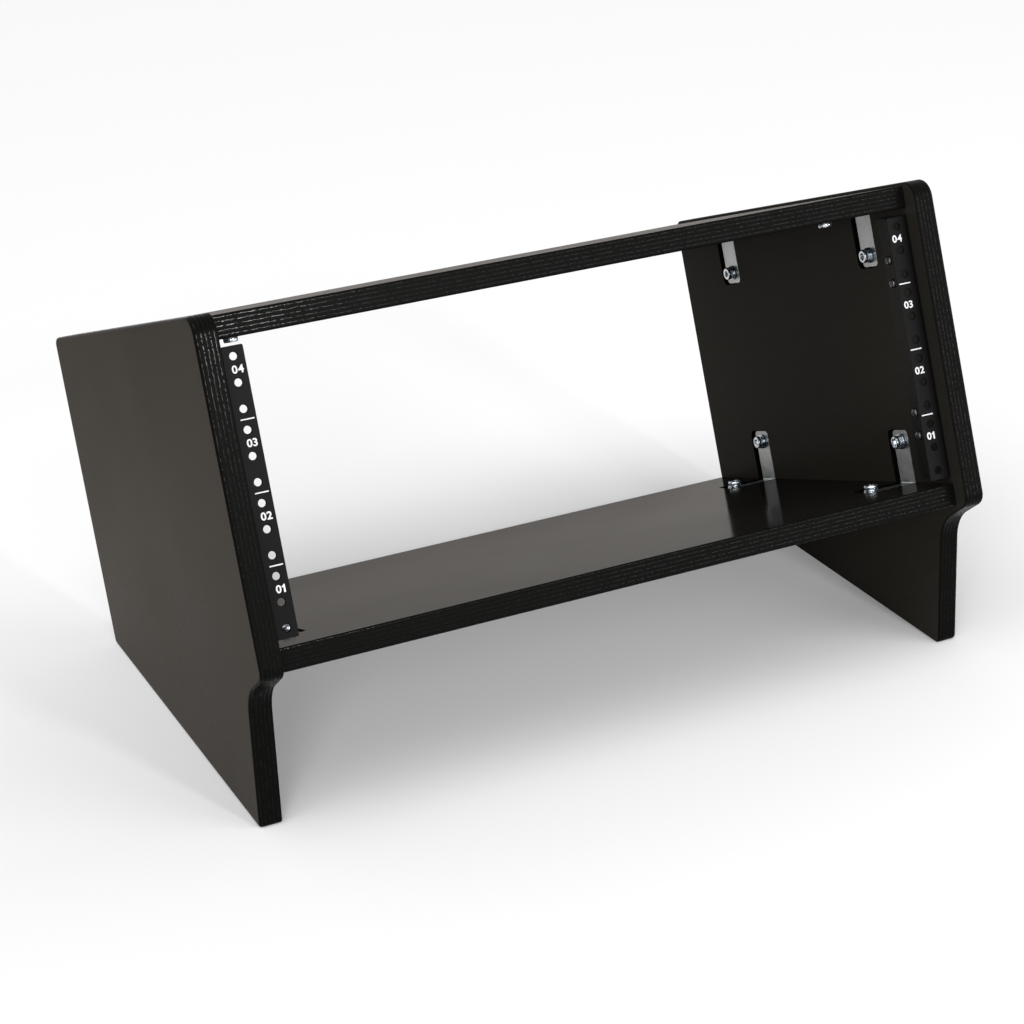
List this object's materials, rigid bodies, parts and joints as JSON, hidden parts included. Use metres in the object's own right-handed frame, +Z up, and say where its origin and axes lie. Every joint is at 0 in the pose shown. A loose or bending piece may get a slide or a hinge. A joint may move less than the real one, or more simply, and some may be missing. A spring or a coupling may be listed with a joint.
{
  "type": "desktop equipment rack",
  "caption": "Slanted desktop rack for standard-width studio equipment: black plywood case on side-panel legs, numbered steel rack rails, corner brackets bolted in routed channels.",
  "frame": {"origin": "centre of the bounding box on the surface the rack stands on", "axes": "+X to the right seen from the front, +Y back from the front, +Z up"},
  "size_m": [0.515, 0.3964, 0.3195],
  "materials": {
    "black_ply": "black lacquer over birch plywood, satin",
    "rail_paint": "black powder coat",
    "zinc": "bright zinc plate",
    "insert_steel": "yellow zinc plate"
  },
  "bodies": {
    "root": {"side_panel_left": "black_ply", "side_panel_right": "black_ply", "top_panel": "black_ply", "bottom_panel": "black_ply", "rail_left": "rail_paint", "rail_right": "rail_paint", "bracket_left_bottom_front": "zinc", "bracket_left_top_front": "zinc", "bracket_right_bottom_front": "zinc", "bracket_right_top_front": "zinc", "bracket_left_bottom_rear": "zinc", "bracket_left_top_rear": "zinc", "bracket_right_bottom_rear": "zinc", "bracket_right_top_rear": "zinc", "cap_screw_left_bottom_front_side": "zinc", "cap_screw_left_bottom_front_bottom": "zinc", "cap_screw_left_top_front_side": "zinc", "cap_screw_left_top_front_top": "zinc", "cap_screw_right_bottom_front_side": "zinc", "cap_screw_right_bottom_front_bottom": "zinc", "cap_screw_right_top_front_side": "zinc", "cap_screw_right_top_front_top": "zinc", "cap_screw_left_bottom_rear_side": "zinc", "cap_screw_left_bottom_rear_bottom": "zinc", "cap_screw_left_top_rear_side": "zinc", "cap_screw_left_top_rear_top": "zinc", "cap_screw_right_bottom_rear_side": "zinc", "cap_screw_right_bottom_rear_bottom": "zinc", "cap_screw_right_top_rear_side": "zinc", "cap_screw_right_top_rear_top": "zinc", "insert_nut_left_bottom_front_side": "insert_steel", "insert_nut_left_bottom_front_bottom": "insert_steel", "insert_nut_left_top_front_side": "insert_steel", "insert_nut_left_top_front_top": "insert_steel", "insert_nut_right_bottom_front_side": "insert_steel", "insert_nut_right_bottom_front_bottom": "insert_steel", "insert_nut_right_top_front_side": "insert_steel", "insert_nut_right_top_front_top": "insert_steel", "insert_nut_left_bottom_rear_side": "insert_steel", "insert_nut_left_bottom_rear_bottom": "insert_steel", "insert_nut_left_top_rear_side": "insert_steel", "insert_nut_left_top_rear_top": "insert_steel", "insert_nut_right_bottom_rear_side": "insert_steel", "insert_nut_right_bottom_rear_bottom": "insert_steel", "insert_nut_right_top_rear_side": "insert_steel", "insert_nut_right_top_rear_top": "insert_steel", "rail_screw_left_1": "zinc", "rail_screw_left_2": "zinc", "rail_screw_left_3": "zinc", "rail_screw_left_4": "zinc", "rail_screw_right_1": "zinc", "rail_screw_right_2": "zinc", "rail_screw_right_3": "zinc", "rail_screw_right_4": "zinc"}
  },
  "joints": []
}
